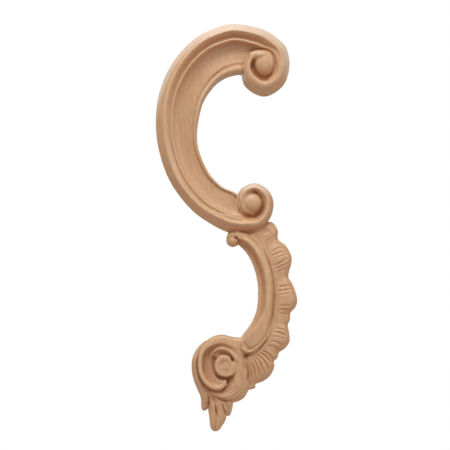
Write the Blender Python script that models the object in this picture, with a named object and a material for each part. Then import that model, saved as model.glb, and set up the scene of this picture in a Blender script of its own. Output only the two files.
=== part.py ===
"""Wood applique: a C-scroll, a crescent with a ruffled shell margin, a volute and leaves, all one piece.

Every carved member is a solid lofted between two guide lines, an outer and an inner one. Across the loft
runs a section of heights above the flat back. All the members are united and cut flat at the back.
Metres, +Z up, the front faces -Y, and the origin is on the flat back where the waist of the scroll lies.
"""
import math

import bmesh
import bpy
import numpy as np
from mathutils import Matrix, Vector

# Driving sizes
DRAWN_HEIGHT = 0.300
SQUARES_HIGH = 406.7
SQUARE = DRAWN_HEIGHT / SQUARES_HIGH
SHEET_AXIS = np.array([225.0, 225.0])
SHEET_ORIGIN = np.array([245.0, 227.0])
EYE_DISTANCE = 1.0
MM = 0.001
BEHIND = 0.003  # how far the members run past the back before it is cut flat

# Heights above the back, in millimetres
EDGE = 7.0
ROLL_CREST = 16.4
ROLL_GROOVE = 13.2
FILLET = 14.8
COVE_FLOOR = 8.8
BEAD = 13.2
BALL = 17.0
RING_FOOT = 9.0
SHELL_FACE = 9.8
SHELL_SWELL = 1.4
SHELL_ROOT = 7.2
LEAF_EDGE = 5.0
MARGIN_EDGE = 4.5
BLADE_EDGE = 4.5
BLADE_GROOVE = 9.6
VOLUTE_FLOOR = 8.4
BOWL_FLOOR = 6.6
PIT_FLOOR = 5.6

# Widths across the big scroll's moulding, in millimetres
ROLL_WIDTH = 6.3
GROOVE_AT = 9.3
FILLET_AT = 12.0
BEAD_WIDTH = 3.0
ARRIS = 0.5
NARROW_BAND = 14
WIDE_BAND = 24

# Rounding of the ridges, as shares of their width and in millimetres
HALF_CREST = 0.07
CREST_DROP = 0.2
VEIN_DEPTH = 1.3
FLUTE_COUNT = 54
SPIRAL_STEPS = 9

# Surface
WOOD_COLOUR = (0.527, 0.332, 0.185, 1.0)
WOOD_ROUGHNESS = 0.62
SMOOTH_ANGLE = math.radians(32)


def on_sheet(points, height):
    """Points of the front drawing, in squares right and down, that lie this many mm above the back."""
    away = (np.asarray(points, float) - SHEET_AXIS) * (1 - height * MM / EYE_DISTANCE) + SHEET_AXIS
    return (away - SHEET_ORIGIN) * (SQUARE, -SQUARE)


def ease(start, end, value):
    """0 before start, 1 after end, and a smooth rise between them."""
    share = min(1.0, max(0.0, (value - start) / (end - start)))
    return share * share * (3 - 2 * share)


def curve_through(rows, steps):
    """Rows read in equal steps between each two given rows, along a smooth curve through them all."""
    rows = np.asarray(rows, float)
    rows = np.concatenate([[2 * rows[0] - rows[1]], rows, [2 * rows[-1] - rows[-2]]])
    share = np.linspace(0, 1, steps, endpoint=False)[:, None]
    pieces = []
    for before, start, end, after in zip(rows, rows[1:], rows[2:], rows[3:]):
        bend = 2 * before - 5 * start + 4 * end - after
        twist = 3 * start - before - 3 * end + after
        pieces.append(start + 0.5 * ((end - before) * share + bend * share**2 + twist * share**3))
    return np.concatenate(pieces + [rows[-2:-1]])


def spaced_evenly(rows, count):
    """The curve through the rows read at even distances, measured along the middle of the loft."""
    fine = curve_through(rows, 24)
    middle = (fine[:, 0:2] + fine[:, 2:4]) / 2
    run = np.concatenate([[0], np.cumsum(np.linalg.norm(np.diff(middle, axis=0), axis=1))])
    along = np.linspace(0, run[-1], count)
    return np.stack([np.interp(along, run, column) for column in fine.T], axis=1)


def section_points(knots):
    """Shares and heights along a section. Each stretch is cut in steps and rises by a sag at its middle."""
    points = []
    for (share, height, sag, steps), after in zip(knots, knots[1:]):
        for step in range(steps):
            part = step / steps
            lift = sag * 4 * part * (1 - part)
            points.append((share + (after[0] - share) * part, height + (after[1] - height) * part + lift))
    points.append(knots[-1][:2])
    return points


def loft(name, rows, section, steps=3, outer_height=EDGE, inner_height=9.0, flutes=0):
    """A closed solid between an outer and an inner guide line.

    A row is outer x, outer y, inner x, inner y, then what the section reads. Where the loft has flutes, its
    stations are spaced evenly and every second one is sunk by the row's last value.
    """
    stations = spaced_evenly(rows, 2 * flutes + 1) if flutes else curve_through(rows, steps)
    outer = on_sheet(stations[:, 0:2], outer_height)
    inner = on_sheet(stations[:, 2:4], inner_height)
    shape = bmesh.new()
    rings = []
    for index, (start, end) in enumerate(zip(outer, inner)):
        width = np.linalg.norm(end - start) / MM
        sink = stations[index, -1] if flutes and index % 2 else 0.0
        ring = []
        knots = section(index / (len(stations) - 1), width, stations[index, 4:])
        for share, height in section_points(knots):
            place = start + (end - start) * share
            cut = sink * math.sin(math.pi * min(1.0, share + 0.1))
            ring.append(shape.verts.new((place[0], -(height - cut) * MM, place[1])))
        ring.append(shape.verts.new((end[0], BEHIND, end[1])))
        ring.append(shape.verts.new((start[0], BEHIND, start[1])))
        rings.append(ring)
    for ring, following in zip(rings, rings[1:]):
        for corner in range(len(ring)):
            beside = (corner + 1) % len(ring)
            shape.faces.new((ring[corner], ring[beside], following[beside], following[corner]))
    shape.faces.new(reversed(rings[0]))
    shape.faces.new(rings[-1])
    return as_object(name, shape)


def boss(name, centre, radii, edge, top, around=20, rows=10):
    """An egg-shaped boss that rises from the edge height to the top height."""
    shape = bmesh.new()
    bmesh.ops.create_uvsphere(shape, u_segments=around, v_segments=rows, radius=1.0)
    bmesh.ops.rotate(shape, verts=shape.verts, matrix=Matrix.Rotation(math.pi / 2, 3, "X"))
    size = Vector((radii[0] * SQUARE, (top - edge) * MM, radii[1] * SQUARE))
    bmesh.ops.scale(shape, verts=shape.verts, vec=size)
    place = on_sheet(centre, (edge + top) / 2)
    bmesh.ops.translate(shape, verts=shape.verts, vec=(place[0], -edge * MM, place[1]))
    return as_object(name, shape)


def ground(name, centre, radii, height, around=24):
    """A flat round plate from behind the back up to a height, under a group of members."""
    shape = bmesh.new()
    bmesh.ops.create_cone(shape, segments=around, radius1=1, radius2=1, depth=1, cap_ends=True)
    bmesh.ops.rotate(shape, verts=shape.verts, matrix=Matrix.Rotation(math.pi / 2, 3, "X"))
    depth = height * MM + BEHIND
    bmesh.ops.scale(shape, verts=shape.verts, vec=(radii[0] * SQUARE, depth, radii[1] * SQUARE))
    place = on_sheet(centre, height)
    bmesh.ops.translate(shape, verts=shape.verts, vec=(place[0], BEHIND - depth / 2, place[1]))
    return as_object(name, shape)


def as_object(name, shape):
    """The finished mesh as an object, all its faces turned outward."""
    bmesh.ops.recalc_face_normals(shape, faces=shape.faces)
    mesh = bpy.data.meshes.new(name)
    shape.to_mesh(mesh)
    shape.free()
    made = bpy.data.objects.new(name, mesh)
    bpy.context.scene.collection.objects.link(made)
    return made


def volute_rows(centre, start, step, outer, inner, crest, heights, front=()):
    """Rows of a volute drawn by its outer and inner radii at each eighth of a turn."""
    rows = []
    last = len(outer) - 1
    for index, (far, near) in enumerate(zip(outer, inner)):
        angle = math.radians(start + step * index)
        ray = np.array([math.cos(angle), math.sin(angle)])
        along = index / last
        keys = [np.interp(along, np.linspace(0, 1, len(values)), values) for values in (crest, heights)]
        rows.append((*(centre + far * ray), *(centre + near * ray), *front, *keys))
    return rows


def ridge(outer_foot, inner_foot, outer_sag=0.8, inner_sag=-0.2, steps=2):
    """A section with one rounded crest, whose place and height come from the row."""
    def section(along, width, row):
        crest, height = row[0], row[1]
        shoulder = height - CREST_DROP
        return [
            (0, outer_foot, outer_sag, steps),
            (crest - HALF_CREST, shoulder, 0, 1),
            (crest + HALF_CREST, shoulder, inner_sag, steps),
            (1, inner_foot, 0, 0),
        ]
    return section


def fluted(outer_foot, inner_foot, grooves, depth, arching=6.0):
    """A rounded section with grooves that run along the loft and die away at both its ends."""
    def section(along, width, row):
        crest, height = row[0], row[1]
        deep = depth * ease(0.0, 0.3, along) * ease(1.0, 0.8, along)
        knots = [(0, outer_foot, 0.8, 2)]
        for place in grooves:
            arch = height - arching * (place - crest) ** 2
            knots.append((place - HALF_CREST, arch, 0, 1))
            knots.append((place, arch - deep, 0, 1))
            knots.append((place + HALF_CREST, arch, 0, 1))
        return knots + [(1, inner_foot, 0, 0)]
    return section


def scroll_section(along, width, row):
    """The big scroll from outside to inside: roll, groove, fillet, cove and bead, or one plain ridge."""
    plain, crest, height = row
    plain = min(1.0, max(0.0, plain))
    mm = 1 / width
    tight = min(1.0, width / (FILLET_AT + ARRIS))
    roll = ROLL_WIDTH * tight * mm
    groove = GROOVE_AT * tight * mm
    fillet = FILLET_AT * tight * mm
    rest = 1 - fillet
    wide = ease(NARROW_BAND, WIDE_BAND, width)
    floor = COVE_FLOOR + 1.5 * (1 - wide)
    line = max(1 - (BEAD_WIDTH + 0.7) * mm, fillet + 0.62 * rest)
    bead = max(1 - (BEAD_WIDTH - 0.3) * mm, line + 0.06 * rest)
    bead_top = BEAD - 1.7 * (1 - wide)
    half_roll = ARRIS * mm
    half_groove = 0.7 * mm
    moulded = [
        (0, EDGE), (roll - half_roll, ROLL_CREST), (roll + 1.2 * half_roll, ROLL_CREST),
        (groove - half_groove, ROLL_GROOVE), (groove + half_groove, ROLL_GROOVE),
        (fillet - half_roll, FILLET), (fillet + 0.8 * half_roll, FILLET),
        (fillet + 0.16 * rest, floor + 1.2), (fillet + 0.42 * rest, floor), (line, floor + 1.7),
        (bead, bead_top), (1, bead_top - 2.0),
    ]
    shoulder = height - CREST_DROP
    ridge_line = [
        (0, EDGE), (crest - HALF_CREST, shoulder),
    ]
    for step, share in enumerate(np.linspace(crest + HALF_CREST, 1, SPIRAL_STEPS + 1)):
        drop = math.sin(math.pi / 2 * step / SPIRAL_STEPS) ** 1.5
        ridge_line.append((share, shoulder - (shoulder - RING_FOOT) * drop))
    sags = (0.9, 0.1, 0, 0, 0, 0, 0, -0.3, -0.3, 0, 0.3, 0)
    cuts = (2, 1, 1, 1, 1, 1, 1, 1, 2, 1, 1, 0)
    knots = []
    for moulded_knot, plain_knot, sag, steps in zip(moulded, ridge_line, sags, cuts):
        kept = sag if plain < 0.5 or not knots else 0.0
        share, high = (np.array(moulded_knot) + (np.array(plain_knot) - moulded_knot) * plain)
        knots.append((share, high, kept, steps))
    return knots


def crescent_section(along, width, row):
    """The crescent: a narrow groove along its outer line, a broad ridge, and a steep bevel inside."""
    shoulder, top = row
    return [
        (0, BLADE_GROOVE, 0, 1),
        (0.8 / width, BLADE_GROOVE, 0, 1),
        (1.8 / width, top - 0.6, 0.3, 2),
        (shoulder, top, 0, 1),
        (shoulder + 0.05, top - 0.8, 0.4, 2),
        (0.97, BLADE_EDGE + 1.0, 0, 1),
        (1, BLADE_EDGE, 0, 0),
    ]


def shell_section(along, width, row):
    """The shell margin: a rolled edge, a face that swells on the lobes, and a root under the crescent."""
    face = SHELL_FACE + SHELL_SWELL * row[0]
    return [
        (0, MARGIN_EDGE, 0.8, 2),
        (0.28, face - 0.6, 0.5, 2),
        (0.8, face, 0, 1),
        (1 - 1.0 / width, SHELL_FACE + 1.4, 0, 1),
        (1, SHELL_FACE - 0.6, 0, 1),
        (1 + 3.0 / width, SHELL_ROOT, 0, 0),
    ]


def leaf_section(along, width, row):
    """A leaf: a vein sunk along its middle between two rounded halves."""
    vein, height = row[0], row[1]
    return [
        (0, LEAF_EDGE, 0.5, 2),
        (0.6 * vein, height, 0, 1),
        (vein, height - VEIN_DEPTH, 0, 1),
        (vein + 0.4 * (1 - vein), height, 0.5, 2),
        (1, LEAF_EDGE, 0, 0),
    ]


def big_scroll():
    """The C-scroll, one band from the ball of the waist volute round to the ball of the top volute."""
    waist = volute_rows(
        np.array([254.5, 202.5]), 45, -45,
        (22.5, 19.6, 19.0, 19.4, 18.9, 18.1, 14.6, 12.7, 11.1, 9.8, 9.5),
        (8.6, 9.6, 9.2, 11.8, 10.4, 9.5, 8.5, 7.6, 5.4, 4.1, 4.3),
        (0.5, 0.4), (16.3, 16.0, 15.6, 15.2, 13.0), (1.0,))
    band = [
        (260, 229, 256, 214, 0.9, 0.4, 16.3), (246, 232.5, 248, 215, 0.5, 0.4, 16.3),
        (229, 232.5, 242, 210.5, 0, 0.3, 16.3), (208, 222, 237, 196.5, 0, 0.3, 16.3),
        (188, 206, 220, 190, 0, 0.3, 16.3), (168, 177, 204, 168, 0, 0.3, 16.3),
        (156.9, 138, 197.4, 140, 0, 0.3, 16.3), (157.6, 98, 201.8, 107, 0, 0.3, 16.3),
        (172, 63, 213, 88.5, 0, 0.3, 16.3), (196, 37, 225, 79, 0, 0.3, 16.3),
        (226, 24.5, 238.5, 75.3, 0, 0.3, 16.3), (250, 25.6, 244, 68, 0, 0.4, 16.4),
        (265, 30.2, 250, 57, 0, 0.4, 16.6), (277, 38, 259.5, 50.8, 0.1, 0.5, 16.8),
        (286.3, 48.3, 270, 52.7, 0.5, 0.6, 16.8),
    ]
    top = volute_rows(
        np.array([264.5, 65.5]), 0, 45,
        (26.0, 26.9, 30.0, 26.8, 22.2, 20.2, 18.1, 15.2, 11.5),
        (11.3, 11.5, 14.1, 13.4, 12.1, 11.4, 9.0, 6.0, 4.0),
        (0.68, 0.5), (16.8, 16.5, 16.2, 15.8, 13.5), (1.0,))
    return [loft("big_scroll", waist[::-1] + band + top, scroll_section, inner_height=11.0),
            boss("top_ball", (264.5, 65.5), (12.0, 12.0), 8.0, BALL),
            ground("top_ground", (264.5, 71.5), (21, 21), VOLUTE_FLOOR),
            boss("waist_ball", (253.6, 203.2), (9.6, 9.2), 8.5, 16.4, around=16, rows=8),
            ground("waist_ground", (255, 203), (16, 16), RING_FOOT)]


def crescent():
    """The lower crescent, which starts in a small curl and ends in a round tongue with a lip about it."""
    blade = [
        (236, 231.5, 236.5, 238.2, 0.8, 11.5), (244, 233, 241, 242, 0.6, 13),
        (251.5, 237.2, 243, 248, 0.55, 13.8), (258, 243.3, 247.8, 253, 0.5, 13.8),
        (264.6, 252, 252.4, 261, 0.47, 13.8), (269, 260, 255.9, 270, 0.44, 13.8),
        (272, 270, 257.6, 278, 0.46, 13.8), (274.6, 287, 258.9, 290, 0.48, 13.8),
        (273.9, 308, 256.7, 308, 0.5, 13.8), (272.3, 320, 252.8, 319, 0.55, 13.8),
        (269, 331.5, 249, 328, 0.7, 13.8), (263.5, 341, 245.3, 335, 0.8, 13.5),
        (257.5, 346.5, 244.5, 340.5, 0.8, 13.5), (252.5, 348.5, 246.3, 345.3, 0.8, 12.5),
    ]
    lip = [
        (277.3, 276, 274.5, 276, 0.5, 10.8), (278, 295, 275.2, 295, 0.5, 11),
        (276.6, 310, 273.8, 309.5, 0.5, 11), (269.5, 334.5, 266.5, 333, 0.5, 12),
        (263.5, 343.5, 259.5, 339.5, 0.5, 12.5), (255.5, 351.8, 253.5, 345.5, 0.5, 13),
        (247.5, 355, 248.5, 347.8, 0.5, 13), (241.3, 352.5, 245.6, 345.5, 0.5, 12.5),
        (239.3, 345, 243.8, 341, 0.5, 12), (239.8, 337.8, 244.5, 335.8, 0.5, 10),
    ]
    curl = [
        (250, 236.5, 246, 243, 0.45, 12.5), (243, 232.2, 240.8, 239.6, 0.45, 13),
        (235, 230.8, 235.5, 237.4, 0.5, 13), (228.3, 233.2, 232.5, 237.8, 0.5, 12.8),
        (226.2, 239, 231.3, 240, 0.45, 12.3), (228, 244.8, 232.3, 242, 0.45, 11.5),
        (232.8, 247.2, 234, 242.8, 0.45, 10.5), (238, 245.3, 236.5, 241.5, 0.45, 9.5),
    ]
    return [loft("crescent", blade, crescent_section, 2, outer_height=9.0, inner_height=5.0),
            loft("crescent_lip", lip, ridge(8.0, 8.6, 0.3, 0.3, 1), outer_height=9.0),
            loft("curl", curl, ridge(6.0, 8.0, 0.6, 0.3), 2),
            boss("curl_ball", (234.0, 241.0), (5.2, 5.2), 6.0, 11.5, around=12, rows=6),
            ground("curl_ground", (234.5, 240.5), (6, 6), BOWL_FLOOR, around=16),
            ground("waist_joint", (246, 234), (13, 6.5), 7.6)]


def shell():
    """The ruffled margin: four lobes down the crescent and a fan below, cut by radiating flutes."""
    rows = [
        (262, 226, 249, 236, 0.2, 0), (271, 222, 255, 239.5, 0.4, 0.2), (277, 230, 259, 244, 0.4, 0.4),
        (278.8, 238.5, 263, 249, 0, 0.6), (286, 245.5, 266.5, 254.5, 0.5, 1.5),
        (291.3, 256, 270, 262, 1, 0.5), (290.6, 264.5, 271.3, 269, 0.6, 1.5),
        (288.5, 271, 272.5, 274.5, 0.1, 0.8), (287.8, 278, 273.5, 280.5, 0, 0.3),
        (292.8, 285, 274.5, 287.5, 0.6, 1.5), (296.8, 297.5, 275, 298, 1, 0.4),
        (291, 311.3, 274.6, 311, 0.5, 1.5), (288.9, 316, 274.2, 315, 0.1, 0.9),
        (287.8, 323, 273.4, 320.5, 0.1, 0.6), (289.8, 332, 272.6, 327, 0.7, 1.5),
        (289, 341.5, 270.5, 335, 1, 0.4), (281.5, 350.6, 266.5, 342.5, 0.4, 1.4),
        (277.3, 356.5, 262.5, 347.5, 0, 0.6), (273.4, 360.5, 259, 350.5, 0, 1),
        (274, 366.5, 255.8, 353, 0.3, 1.5), (270.2, 375.3, 252.5, 355, 0.5, 1.5),
        (263, 380.6, 250, 357, 0.4, 1.4), (255.5, 384, 247.6, 358.5, 0, 1),
        (253.6, 387.7, 245.5, 360, -0.6, 0.2), (246, 389.5, 242, 361, -1, 0),
    ]
    return [loft("shell", rows, shell_section, outer_height=5.0, flutes=FLUTE_COUNT),
            ground("joint_ground", (248, 353), (17, 12), VOLUTE_FLOOR)]


def foot_volute():
    """The lower volute: a rim that ends in a blunt hook, a hollow bowl, and an eye that winds in."""
    rim = [
        (246, 337.5, 243.5, 352, 0.4, 11.5), (239.5, 338.3, 238, 350.5, 0.45, 12.5),
        (231, 337, 230, 346.5, 0.5, 13.3), (223.3, 335, 222.5, 344.4, 0.5, 14),
        (214, 336.6, 215.6, 346.4, 0.55, 14), (204.5, 342.3, 209.9, 350.2, 0.6, 14),
        (198.6, 350.8, 205.4, 356, 0.6, 14), (196.9, 361, 203.6, 363, 0.55, 14),
        (197.6, 371.5, 204, 370.3, 0.5, 14), (201.5, 381, 206.8, 377.3, 0.5, 14),
        (208, 387.6, 211.5, 381.6, 0.5, 14), (215.3, 390.2, 216.5, 383.2, 0.5, 14),
        (221.3, 389.3, 220.5, 381.2, 0.5, 14), (226, 384, 223, 378.9, 0.5, 13.3),
    ]
    eye = volute_rows(
        np.array([223.5, 365.5]), 90, 45,
        (17.0, 18.6, 19.3, 19.4, 20.4, 18.2, 15.8, 13.7, 12.2, 11.2, 10.0, 8.6, 7.0, 6.0),
        (12.8, 12.4, 11.6, 12.6, 13.2, 11.4, 9.4, 7.0, 5.2, 4.4, 3.7, 3.0, 2.3, 1.8),
        (0.45, 0.5, 0.6, 0.5, 0.45), (8.6, 9.0, 13.6, 15.0, 15.0, 14.8, 14.5))
    return [loft("foot_rim", rim, ridge(6.5, 8.0, 0.9, 0.5), 2, inner_height=8.0),
            ground("bowl", (219, 363), (20, 22), BOWL_FLOOR),
            ground("pit", (221, 386), (14, 7), PIT_FLOOR, around=16),
            loft("foot_ring", eye, ridge(7.6, 6.8, 0.8, 0.3), outer_height=8.0),
            boss("foot_eye", (225.0, 367.5), (7.5, 7.5), 7.0, 13.0, around=16, rows=8)]


def leaves():
    """The strand beside the volute, the cup that folds under it, and the three leaves of the tip."""
    strand = [
        (205, 341.5, 208, 345, 0.5, 8.5), (197.5, 348.7, 202.5, 353.5, 0.5, 10),
        (192.7, 358, 198.5, 361, 0.5, 10.5), (191.8, 367, 198, 368.5, 0.5, 10.5),
        (194, 378, 201, 377.5, 0.5, 10.5), (198.2, 389, 207.5, 387, 0.45, 10.5),
        (201, 397, 213, 393, 0.4, 10), (202, 404, 216, 399, 0.4, 9),
    ]
    cup = [
        (247, 347, 236, 350, 0.5, 9), (248, 358, 237.5, 360, 0.5, 11), (249.5, 370, 237.5, 370, 0.55, 12),
        (250.5, 381, 233, 376.5, 0.55, 12), (248.5, 389.5, 229, 382, 0.55, 11.5),
        (242.5, 397.5, 225, 387, 0.5, 11), (233, 401.8, 220.5, 389.5, 0.5, 11),
        (224, 401.5, 215.5, 390, 0.5, 10.5), (215, 398.5, 210.5, 389.5, 0.5, 10),
    ]
    left = [
        (198, 389, 209, 392, 0.5, 8.5), (201, 398, 209, 400, 0.5, 8),
        (201.6, 404, 208.5, 404.5, 0.5, 7.5), (202.4, 409, 206, 408.5, 0.5, 6),
    ]
    middle = [
        (203, 393, 226, 395, 0.4, 10), (207, 402, 228, 402, 0.4, 9.5), (209.3, 410, 226.8, 411, 0.45, 9),
        (210.3, 418, 224.8, 418.5, 0.45, 8.5), (211.3, 425, 221.3, 425.5, 0.5, 7.5),
        (213.3, 429.3, 217.5, 429.6, 0.5, 6),
    ]
    right = [
        (214, 398, 232, 398, 0.5, 9), (219.5, 405, 232.2, 404.5, 0.5, 8.5),
        (223.5, 411, 231.2, 411, 0.5, 7.5), (226.5, 415, 229, 415, 0.5, 6),
    ]
    return [loft("strand", strand, ridge(5.5, 8.0, 0.6, 0.3), 2, outer_height=6.0),
            loft("cup", cup, fluted(5.4, 8.0, (0.3, 0.5, 0.7), 1.4)),
            loft("left_leaf", left, leaf_section, 2, LEAF_EDGE, LEAF_EDGE),
            loft("middle_leaf", middle, leaf_section, 2, LEAF_EDGE, LEAF_EDGE),
            loft("right_leaf", right, leaf_section, 2, LEAF_EDGE, LEAF_EDGE)]


def wood():
    """Pale brown beech with no finish."""
    material = bpy.data.materials.new("beech")
    material.use_nodes = True
    surface = material.node_tree.nodes["Principled BSDF"]
    surface.inputs["Base Color"].default_value = WOOD_COLOUR
    surface.inputs["Roughness"].default_value = WOOD_ROUGHNESS
    surface.inputs["Metallic"].default_value = 0.0
    return material


def applied(target):
    """The target's mesh as its modifiers leave it."""
    evaluated = target.evaluated_get(bpy.context.evaluated_depsgraph_get())
    target.data = bpy.data.meshes.new_from_object(evaluated)
    target.modifiers.clear()


def united(name, members):
    """All the members as one solid, cut flat along the back."""
    body = members[0]
    body.name = name
    group = bpy.data.collections.new("members")
    for member in members[1:]:
        bpy.context.scene.collection.objects.unlink(member)
        group.objects.link(member)
    bpy.context.scene.collection.children.link(group)
    union = body.modifiers.new("union", "BOOLEAN")
    union.operation = "UNION"
    union.operand_type = "COLLECTION"
    union.collection = group
    union.solver = "EXACT"
    applied(body)
    for member in members[1:]:
        bpy.data.objects.remove(member)
    bpy.data.collections.remove(group)
    return body


def cut_back(body):
    """Take away everything behind the plane of the back and close the cut."""
    shape = bmesh.new()
    bmesh.ops.create_cube(shape, size=1.0)
    depth = 4 * BEHIND
    bmesh.ops.scale(shape, verts=shape.verts, vec=(2 * DRAWN_HEIGHT, depth, 2 * DRAWN_HEIGHT))
    bmesh.ops.translate(shape, verts=shape.verts, vec=(0, depth / 2, 0))
    plane = as_object("back_cutter", shape)
    cut = body.modifiers.new("back", "BOOLEAN")
    cut.operation = "DIFFERENCE"
    cut.object = plane
    cut.solver = "EXACT"
    applied(body)
    bpy.data.objects.remove(plane)


def main():
    for old in list(bpy.data.objects):
        bpy.data.objects.remove(old)
    members = big_scroll() + crescent() + shell() + foot_volute() + leaves()
    body = united("scroll_applique", members)
    cut_back(body)
    body.data.name = "scroll_applique"
    body.data.materials.clear()
    body.data.materials.append(wood())
    body.data.shade_smooth()
    body.data.set_sharp_from_angle(angle=SMOOTH_ANGLE)


main()
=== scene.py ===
# %% [markdown]
# A carved wood applique: a C-scroll above a crescent with a ruffled shell margin, a volute and leaves.
# A carver works such a piece from the front only, downwards from a flat board, so its whole front is one
# height for each place on the board. This lesson carves it the same way: a fine grid holds the height of
# the wood, each member is laid on the grid, and the grid is then skinned with triangles.

import math

import bmesh
import bpy
import numpy as np
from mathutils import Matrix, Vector
from mathutils.geometry import delaunay_2d_cdt


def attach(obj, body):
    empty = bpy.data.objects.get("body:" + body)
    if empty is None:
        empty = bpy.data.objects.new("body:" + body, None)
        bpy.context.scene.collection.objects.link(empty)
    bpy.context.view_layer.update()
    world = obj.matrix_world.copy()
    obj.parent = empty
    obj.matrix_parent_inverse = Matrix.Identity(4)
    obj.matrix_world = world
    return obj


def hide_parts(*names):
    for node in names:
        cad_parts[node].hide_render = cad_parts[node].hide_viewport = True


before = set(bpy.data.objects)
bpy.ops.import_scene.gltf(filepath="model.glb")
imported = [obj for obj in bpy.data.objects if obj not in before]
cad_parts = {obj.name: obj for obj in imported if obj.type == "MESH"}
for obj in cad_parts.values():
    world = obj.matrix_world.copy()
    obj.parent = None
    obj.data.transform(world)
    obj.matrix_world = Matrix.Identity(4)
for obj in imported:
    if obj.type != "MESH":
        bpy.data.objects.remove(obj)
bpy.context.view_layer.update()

# %% [markdown]
# All shapes are drawn on a sheet of small squares, seen from an eye one metre away on the sheet's axis.
# A point high above the back is nearer to that eye, so it looks further from the axis than it is.
# One function undoes this and turns squares into metres on the board.

# %% The drawing sheet
SQUARE = 0.000737644
SHEET_AXIS = np.array([225.0, 225.0])
SHEET_ORIGIN = np.array([245.0, 227.0])
EYE_DISTANCE = 1.0
MM = 0.001


def on_board(points, height):
    """Places on the board, in metres right and up, of drawn points that lie this many mm above the back."""
    away = (np.asarray(points, float) - SHEET_AXIS) * (1 - height * MM / EYE_DISTANCE) + SHEET_AXIS
    return (away - SHEET_ORIGIN) * (SQUARE, -SQUARE)


# %% [markdown]
# The board is a grid of cells a quarter of a millimetre wide, finer than any cut that a gouge leaves.
# Each cell keeps the height of the wood above the flat back, and whether there is any wood.

# %% The grid of heights
CELL = 0.24 * MM
LOW = np.array([-0.0685, -0.1515])
HIGH = np.array([0.0410, 0.1515])
SHAPE = tuple(np.ceil((HIGH - LOW) / CELL).astype(int)[::-1])
wood_height = np.zeros(SHAPE)
wood_here = np.zeros(SHAPE, bool)
cell_x = LOW[0] + (np.arange(SHAPE[1]) + 0.5) * CELL
cell_z = LOW[1] + (np.arange(SHAPE[0]) + 0.5) * CELL
print("grid of", SHAPE, "cells")

# %% [markdown]
# Guide lines are smooth curves through a few chosen points. The same curve also carries every other value
# of a member along with it, such as how wide or how high it is. Its stations are set at even distances.

# %% Smooth guide lines
STATION = 0.13 * MM


def curve_through(rows, steps):
    """Rows read in equal steps between each two given rows, along a smooth curve through them all."""
    rows = np.asarray(rows, float)
    rows = np.concatenate([[2 * rows[0] - rows[1]], rows, [2 * rows[-1] - rows[-2]]])
    share = np.linspace(0, 1, steps, endpoint=False)[:, None]
    pieces = []
    for before, start, end, after in zip(rows, rows[1:], rows[2:], rows[3:]):
        bend = 2 * before - 5 * start + 4 * end - after
        twist = 3 * start - before - 3 * end + after
        pieces.append(start + 0.5 * ((end - before) * share + bend * share**2 + twist * share**3))
    return np.concatenate(pieces + [rows[-2:-1]])


def stations_of(rows):
    """The rows' curve read at even distances, measured on whichever guide line is the longer there."""
    fine = curve_through(rows, 24)
    steps = np.diff(fine[:, 0:4], axis=0)
    longest = np.maximum(np.hypot(steps[:, 0], steps[:, 1]), np.hypot(steps[:, 2], steps[:, 3]))
    run = np.concatenate([[0], np.cumsum(longest)])
    count = int(run[-1] * SQUARE / STATION) + 2
    along = np.linspace(0, run[-1], count)
    return np.stack([np.interp(along, run, column) for column in fine.T], axis=1)


# %% [markdown]
# A member's section is given by a few knots, each a share of the width and a height. Between the knots the
# line bends softly but never swings past them, so a ridge stays as high as drawn and no groove goes deeper.

# %% Soft sections
SAMPLE = 0.11 * MM


def soft_slopes(shares, heights):
    """Slopes at the knots that keep the curve between each two knots within their heights."""
    run = np.maximum(np.diff(shares, axis=1), 1e-6)
    rise = np.diff(heights, axis=1) / run
    before, after = rise[:, :-1], rise[:, 1:]
    same_way = before * after > 0
    near, far = 2 * run[:, 1:] + run[:, :-1], run[:, 1:] + 2 * run[:, :-1]
    steady = np.where(same_way, 1.0, np.nan)
    with np.errstate(all="ignore"):
        middle = (near + far) / (near / (before * steady) + far / (after * steady))
    return np.concatenate([rise[:, :1], np.nan_to_num(middle), rise[:, -1:]], axis=1), run


def lay(rows, section):
    """Lay a member on the board: between two guide lines runs a section, and the higher wood stays.

    A row is outer x, outer y, inner x, inner y, then the values that the section reads.
    """
    stations = stations_of(rows)
    outer, inner = stations[:, 0:2], stations[:, 2:4]
    width = np.linalg.norm(inner - outer, axis=1) * SQUARE / MM
    knots = section(width, *stations[:, 4:].T)
    shares = np.stack([np.broadcast_to(share, width.shape) for share, _ in knots], axis=1)
    heights = np.stack([np.broadcast_to(height, width.shape) for _, height in knots], axis=1)
    slopes, run = soft_slopes(shares, heights)
    total = np.zeros(SHAPE[0] * SHAPE[1])
    hits = np.zeros(SHAPE[0] * SHAPE[1])
    for knot in range(shares.shape[1] - 1):
        span = run[:, knot:knot + 1]
        count = int(np.max(span[:, 0] * width) * MM / SAMPLE) + 2
        part = np.linspace(0, 1, count)[None, :]
        share = shares[:, knot:knot + 1] + span * part
        height = (heights[:, knot:knot + 1] * (1 + 2 * part) * (1 - part) ** 2
                  + heights[:, knot + 1:knot + 2] * part**2 * (3 - 2 * part)
                  + slopes[:, knot:knot + 1] * span * part * (1 - part) ** 2
                  + slopes[:, knot + 1:knot + 2] * span * part**2 * (part - 1))
        drawn = outer[:, None, :] + (inner - outer)[:, None, :] * share[:, :, None]
        place = on_board(drawn, height[:, :, None])
        column, row = np.floor((place - LOW) / CELL).astype(int).transpose(2, 0, 1)
        index = (row * SHAPE[1] + column).ravel()
        total += np.bincount(index, weights=height.ravel(), minlength=total.size)
        hits += np.bincount(index, minlength=hits.size)
    mean = (total / np.maximum(hits, 1)).reshape(SHAPE)
    here = (hits > 0).reshape(SHAPE)
    wood_height[here] = np.maximum(wood_height[here], mean[here])
    wood_here[here] = True


# %% [markdown]
# Balls, grounds and hollows are simpler: they are round, so one function of the distance from their middle
# gives their height. A ball rises from the wood, a ground fills the joints, and a hollow is cut into it.

# %% Balls, grounds and hollows
USUAL_HEIGHT = 10.0  # mm


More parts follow.
